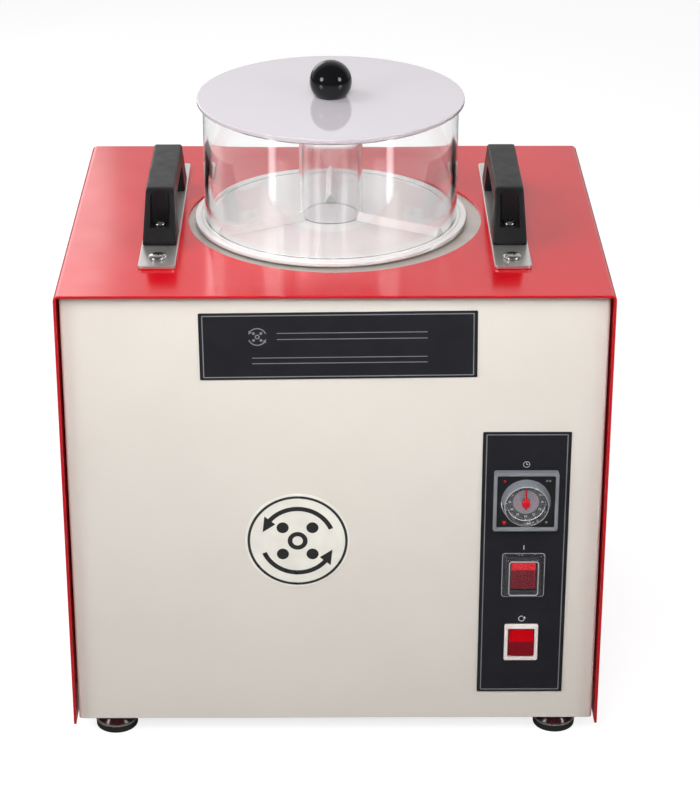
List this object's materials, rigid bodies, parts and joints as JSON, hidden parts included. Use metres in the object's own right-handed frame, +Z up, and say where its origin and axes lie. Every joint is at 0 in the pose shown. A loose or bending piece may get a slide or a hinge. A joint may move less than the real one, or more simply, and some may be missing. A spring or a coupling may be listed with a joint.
{
  "type": "magnetic polishing machine",
  "caption": "Countertop magnetic tumbler: sheet-metal box with a lift-out clear bowl over a spinning magnet disc, lid with ball knob, two grips, timer and rocker switches.",
  "frame": {"origin": "on the surface the feet stand on, under the middle of the casing", "axes": "+Z up, -Y the front with the controls, +X to the right seen from the front"},
  "size_m": [0.404, 0.3304, 0.4958],
  "materials": {
    "red_paint": "gloss enamel over sheet steel",
    "cream_paint": "fine-textured satin powder coat",
    "stainless": "brushed stainless sheet",
    "screw_steel": "bright plated steel",
    "rubber": "moulded black rubber with a dark glossy cone",
    "black_plastic": "fine-grained moulded nylon",
    "black_gloss": "polished phenolic ball",
    "clear_acrylic": "clear polished acrylic",
    "opal_acrylic": "polished milky acrylic sheet",
    "white_plastic": "turned white acetal",
    "printed_plate": "printed film plate with a fine silver border",
    "badge_print": null,
    "red_plastic": "translucent red lens plastic",
    "motor_grey": "grey machine paint",
    "aluminium": "machined aluminium",
    "magnet_nickel": "nickel-plated magnet"
  },
  "bodies": {
    "root": {"cover": "red_paint", "front_panel": "cream_paint", "rear_panel": "cream_paint", "base_plate": "cream_paint", "deck_plate": "stainless", "foot_front_left": "rubber", "foot_front_right": "rubber", "foot_rear_left": "rubber", "foot_rear_right": "rubber", "cover_screw_left_front": "screw_steel", "cover_screw_left_rear": "screw_steel", "cover_screw_right_front": "screw_steel", "cover_screw_right_rear": "screw_steel", "grip_plate_left": "stainless", "grip_plate_right": "stainless", "grip_left": "black_plastic", "grip_right": "black_plastic", "plate_screw_left_front": "screw_steel", "plate_screw_left_rear": "screw_steel", "plate_screw_right_front": "screw_steel", "plate_screw_right_rear": "screw_steel", "grip_screw_left_front": "screw_steel", "grip_screw_left_rear": "screw_steel", "grip_screw_right_front": "screw_steel", "grip_screw_right_rear": "screw_steel", "nameplate": "printed_plate", "control_plate": "printed_plate", "badge": "badge_print", "timer_case": "black_plastic", "on_switch_case": "black_plastic", "on_switch_boot": "clear_acrylic", "restart_switch_case": "white_plastic", "motor_stand": "motor_grey", "motor_body": "motor_grey", "run_capacitor": "aluminium", "fan_frame": "black_plastic", "fan_guard": "screw_steel", "power_inlet": "black_plastic", "fuse_holder": "black_plastic"},
    "bowl": {"bowl_base": "white_plastic", "bowl_wall": "clear_acrylic", "centre_tube": "clear_acrylic", "mixing_ridge_1": "white_plastic", "mixing_ridge_2": "white_plastic", "mixing_ridge_3": "white_plastic"},
    "lid": {"lid": "opal_acrylic", "lid_ring": "clear_acrylic", "knob_ball": "black_gloss"},
    "timer_dial": {"timer_dial": "clear_acrylic", "timer_pointer": "red_plastic"},
    "on_rocker": {"on_switch_rocker": "red_plastic"},
    "restart_rocker": {"restart_switch_rocker": "red_plastic"},
    "rotor": {"rotor_disc": "aluminium", "motor_shaft": "screw_steel", "magnet_1": "magnet_nickel", "magnet_2": "magnet_nickel", "magnet_3": "magnet_nickel", "magnet_4": "magnet_nickel"},
    "fan": {"fan_impeller": "black_plastic"}
  },
  "joints": [
    {"name": "bowl_lift", "type": "slide", "parent": "root", "child": "bowl", "axis": [0, 0, 1], "range_m": [0, 0.14]},
    {"name": "lid_lift", "type": "slide", "parent": "bowl", "child": "lid", "axis": [0, 0, 1], "range_m": [0, 0.12]},
    {"name": "timer_dial_turn", "type": "hinge", "parent": "root", "child": "timer_dial", "pos_m": [0.1403, -0.1562, 0.2052], "axis": [0, 1, 0], "range_deg": [0, 300]},
    {"name": "on_rocker_tilt", "type": "hinge", "parent": "root", "child": "on_rocker", "pos_m": [0.1403, -0.1497, 0.142], "axis": [1, 0, 0], "range_deg": [0, 12]},
    {"name": "restart_rocker_tilt", "type": "hinge", "parent": "root", "child": "restart_rocker", "pos_m": [0.1403, -0.1497, 0.084], "axis": [1, 0, 0], "range_deg": [0, 12], "stiffness_Nm_per_rad": 0.12},
    {"name": "rotor_spin", "type": "hinge", "parent": "root", "child": "rotor", "pos_m": [0, -0.004, 0.355], "axis": [0, 0, 1], "continuous": true},
    {"name": "fan_spin", "type": "hinge", "parent": "root", "child": "fan", "pos_m": [-0.09, 0.138, 0.25], "axis": [0, 1, 0], "continuous": true}
  ]
}
